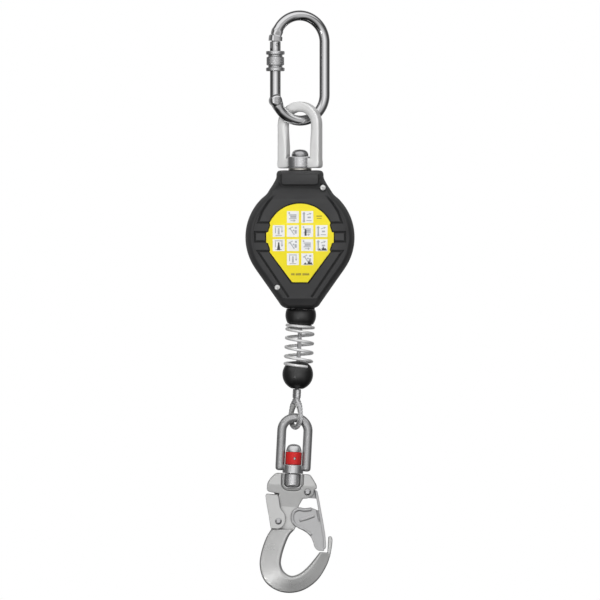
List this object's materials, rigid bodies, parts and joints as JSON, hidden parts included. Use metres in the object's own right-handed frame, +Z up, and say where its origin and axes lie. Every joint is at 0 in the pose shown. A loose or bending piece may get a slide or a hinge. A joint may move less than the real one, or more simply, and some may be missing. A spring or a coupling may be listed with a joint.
{
  "type": "self retracting lifeline",
  "caption": "Compact self retracting lifeline with a screw-gate carabiner, swivel eye, drum housing, buffered wire line and a swivelling double-action hook.",
  "frame": {"origin": "inner top of the carabiner's upper bow, where the anchor carries it", "axes": "+Z up along the hanging axis, -Y out of the labelled face, +X to the right of that face"},
  "size_m": [0.1014, 0.0641, 0.5418],
  "materials": {
    "polished": "polished",
    "zinc": "satin zinc plate",
    "steel": "machined",
    "spring_steel": "blued",
    "brass": "machined",
    "casing": "fine moulded texture",
    "rubber": "smooth black",
    "nylon": "moulded",
    "friction": "woven friction lining",
    "label": "printed film",
    "indicator": "smooth red"
  },
  "bodies": {
    "carabiner": {"carabiner_frame": "polished", "gate_hinge_pin": "polished"},
    "carabiner_gate": {"carabiner_gate": "polished", "gate_latch_pin": "polished"},
    "screw_sleeve": {"screw_sleeve": "zinc"},
    "swivel_eye": {"swivel_eye": "zinc"},
    "housing": {"swivel_stud": "steel", "thrust_washer": "brass", "swivel_nut": "steel", "front_cover": "casing", "rear_cover": "casing", "front_label": "label", "cover_screw_1": "steel", "cover_screw_2": "steel", "cover_screw_3": "steel", "cover_screw_4": "steel", "chassis_front": "zinc", "chassis_rear": "zinc", "swivel_block": "steel", "frame_bolt_1": "steel", "frame_bolt_2": "steel", "main_shaft": "steel", "shaft_circlip": "spring_steel", "ratchet_ring": "steel", "power_spring": "spring_steel", "spring_cup": "nylon", "spring_lid": "nylon", "cable_guide": "nylon"},
    "drum": {"cable_drum": "nylon", "drum_cheek": "zinc", "wound_lifeline": "steel", "drum_bush_1": "brass", "drum_bush_2": "brass", "friction_disc": "friction", "pawl_plate": "steel", "pawl_pin_1": "spring_steel", "pawl_spring_1": "spring_steel", "pawl_pin_2": "spring_steel", "pawl_spring_2": "spring_steel"},
    "pawl_1": {"brake_pawl_1": "steel"},
    "pawl_2": {"brake_pawl_2": "steel"},
    "lifeline": {"lifeline_wire": "steel", "upper_bumper": "rubber", "bumper_spring": "zinc", "lower_bumper": "rubber", "ferrule": "zinc", "wire_eye": "steel", "thimble": "zinc"},
    "hook_bail": {"hook_bail": "zinc"},
    "hook": {"hook_stud": "steel", "fall_indicator": "indicator", "indicator_pin": "steel", "hook_body": "zinc", "gate_rivet": "steel", "lever_rivet": "steel", "gate_spring": "spring_steel", "lever_spring": "spring_steel"},
    "hook_gate": {"hook_gate": "zinc"},
    "lock_lever": {"lock_lever": "zinc"}
  },
  "joints": [
    {"name": "carabiner_gate_hinge", "type": "hinge", "parent": "carabiner", "child": "carabiner_gate", "pos_m": [-0.02272, -0.00918, -0.0745], "axis": [-0.3746, 0.9272, 0], "range_deg": [0, 25], "stiffness_Nm_per_rad": 0.02, "springref_deg": -5.73},
    {"name": "sleeve_travel", "type": "slide", "parent": "carabiner_gate", "child": "screw_sleeve", "axis": [0, 0, 1], "range_m": [0, 0.009]},
    {"name": "eye_swing", "type": "hinge", "parent": "carabiner", "child": "swivel_eye", "pos_m": [0, 0, -0.0928], "axis": [0.9272, 0.3746, 0], "range_deg": [-25, 25]},
    {"name": "housing_swivel", "type": "hinge", "parent": "swivel_eye", "child": "housing", "pos_m": [0, 0, -0.13], "axis": [0, 0, 1], "continuous": true},
    {"name": "payout", "type": "slide", "parent": "housing", "child": "lifeline", "axis": [-0.0506, 0, -0.9987], "range_m": [0, 2.5], "stiffness_N_per_m": 3.2, "springref_m": -3.75, "deforming": ["lifeline_wire"]},
    {"name": "drum_spin", "type": "hinge", "parent": "housing", "child": "drum", "pos_m": [0, 0, -0.2014], "axis": [0, 1, 0], "continuous": true},
    {"name": "pawl_1_hinge", "type": "hinge", "parent": "drum", "child": "pawl_1", "pos_m": [0.022, 0, -0.2014], "axis": [0, 1, 0], "range_deg": [0, 14], "stiffness_Nm_per_rad": 0.005, "springref_deg": -11.46},
    {"name": "pawl_2_hinge", "type": "hinge", "parent": "drum", "child": "pawl_2", "pos_m": [-0.022, 0, -0.2014], "axis": [0, 1, 0], "range_deg": [0, 14], "stiffness_Nm_per_rad": 0.005, "springref_deg": -11.46},
    {"name": "hook_swing", "type": "hinge", "parent": "lifeline", "child": "hook_bail", "pos_m": [-0.00414, 0, -0.36918], "axis": [0.9987, 0, -0.0506], "range_deg": [-40, 40]},
    {"name": "hook_swivel", "type": "hinge", "parent": "hook_bail", "child": "hook", "pos_m": [-0.00674, 0, -0.42051], "axis": [0.0506, 0, 0.9987], "continuous": true},
    {"name": "hook_gate_hinge", "type": "hinge", "parent": "hook", "child": "hook_gate", "pos_m": [0.00699, 0, -0.43813], "axis": [0, 1, 0], "range_deg": [0, 16], "stiffness_Nm_per_rad": 0.03, "springref_deg": -8.59},
    {"name": "lock_lever_hinge", "type": "hinge", "parent": "hook", "child": "lock_lever", "pos_m": [-0.02001, 0, -0.4651], "axis": [0, 1, 0], "range_deg": [0, 10], "stiffness_Nm_per_rad": 0.03, "springref_deg": -8.59}
  ],
  "couplings": [
    {"joint": "drum_spin", "follows": "payout", "rad_per_m": 35.186}
  ]
}
